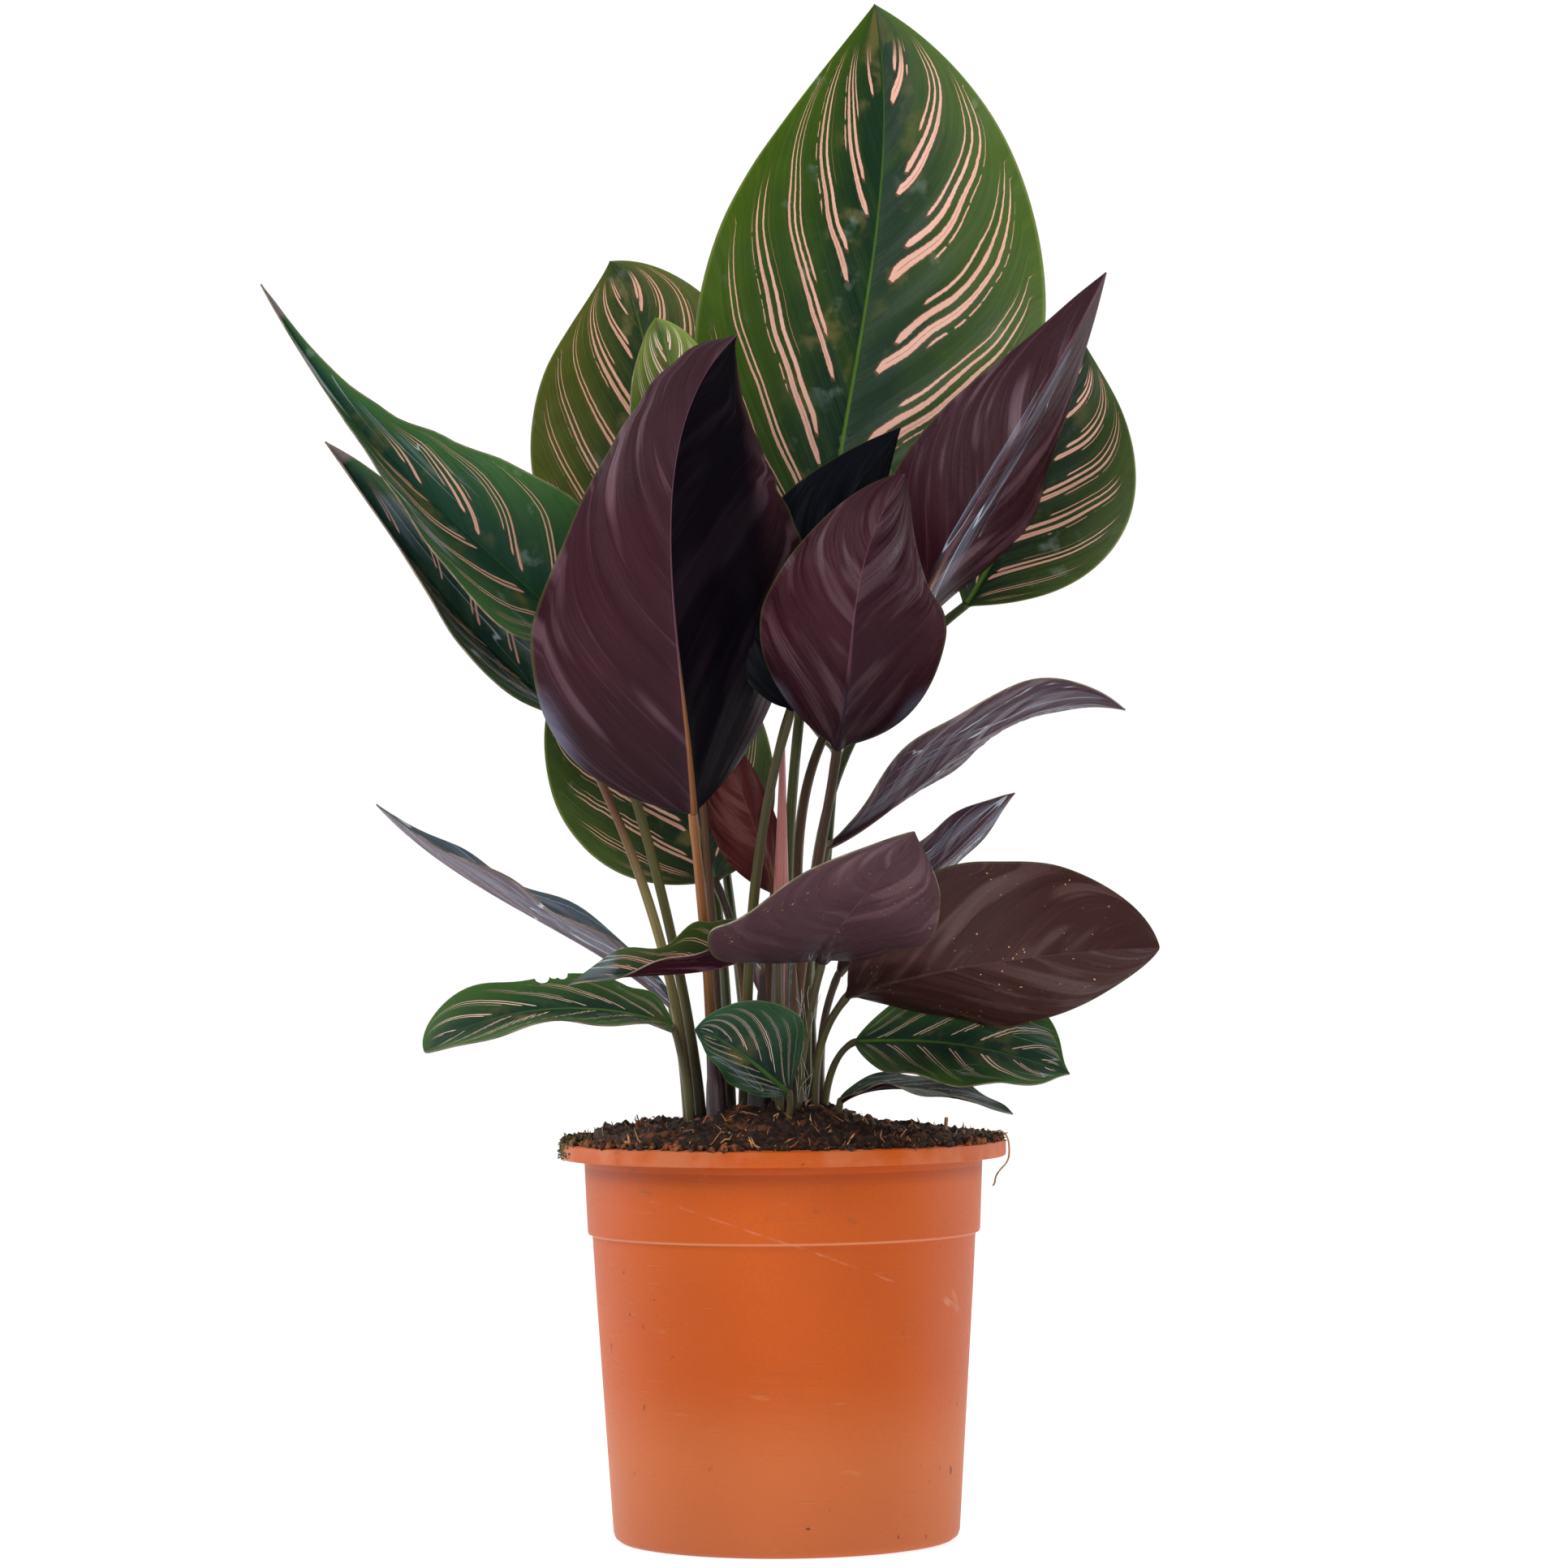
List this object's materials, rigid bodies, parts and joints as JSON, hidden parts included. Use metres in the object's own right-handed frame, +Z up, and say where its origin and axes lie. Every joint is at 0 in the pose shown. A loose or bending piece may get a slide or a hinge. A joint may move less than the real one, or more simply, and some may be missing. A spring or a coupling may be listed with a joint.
{
  "type": "potted calathea",
  "caption": "Leafy house plant with broad striped leaves, dark red underneath, on long stalks that stand in soil in a round rimmed plastic nursery pot.",
  "frame": {"origin": "centre of the pot's underside, in the plane of the surface that it stands on", "axes": "+Z up; -Y towards the side that the picture shows, with +X to its right"},
  "size_m": [0.2783, 0.2296, 0.4911],
  "materials": {
    "pot": "semi-matte terracotta-coloured moulded plastic, lightly scratched",
    "soil": "damp dark peat with brown fibres",
    "leaf": "satin dark green with pink stripes above, dark purple red underneath",
    "stalk": "satin olive to red brown",
    "spear": "satin pink, a leaf still rolled up",
    "sheath": "dry dark purple to brown"
  },
  "bodies": {
    "root": {"arm_right_blade": "leaf", "arm_right_stalk": "stalk", "back_left_blade": "leaf", "back_left_stalk": "stalk", "back_right_blade": "leaf", "back_right_stalk": "stalk", "front_left_blade": "leaf", "front_left_stalk": "stalk", "front_low_blade": "leaf", "front_low_stalk": "stalk", "hem_right_blade": "leaf", "hem_right_stalk": "stalk", "low_left_blade": "leaf", "low_left_stalk": "stalk", "low_right_blade": "leaf", "low_right_stalk": "stalk", "middle_blade": "leaf", "middle_stalk": "stalk", "narrow_left_blade": "leaf", "narrow_left_stalk": "stalk", "pot": "pot", "rear_left_blade": "leaf", "rear_left_stalk": "stalk", "rear_low_blade": "leaf", "rear_low_stalk": "stalk", "rear_right_blade": "leaf", "rear_right_stalk": "stalk", "shade_blade": "leaf", "shade_stalk": "stalk", "sheath_left": "sheath", "sheath_middle": "sheath", "sheath_right": "sheath", "skirt_left_blade": "leaf", "skirt_left_stalk": "stalk", "skirt_right_blade": "leaf", "skirt_right_stalk": "stalk", "small_front_blade": "leaf", "small_front_stalk": "stalk", "small_right_blade": "leaf", "small_right_stalk": "stalk", "soil": "soil", "spear": "spear", "tail_left_blade": "leaf", "tail_left_stalk": "stalk", "top_blade": "leaf", "top_stalk": "stalk", "under_wing_left_blade": "leaf", "under_wing_left_stalk": "stalk", "wing_left_blade": "leaf", "wing_left_stalk": "stalk", "wing_right_blade": "leaf", "wing_right_stalk": "stalk", "young_left_blade": "leaf", "young_left_stalk": "stalk", "young_red_blade": "leaf", "young_red_stalk": "stalk"}
  },
  "joints": []
}
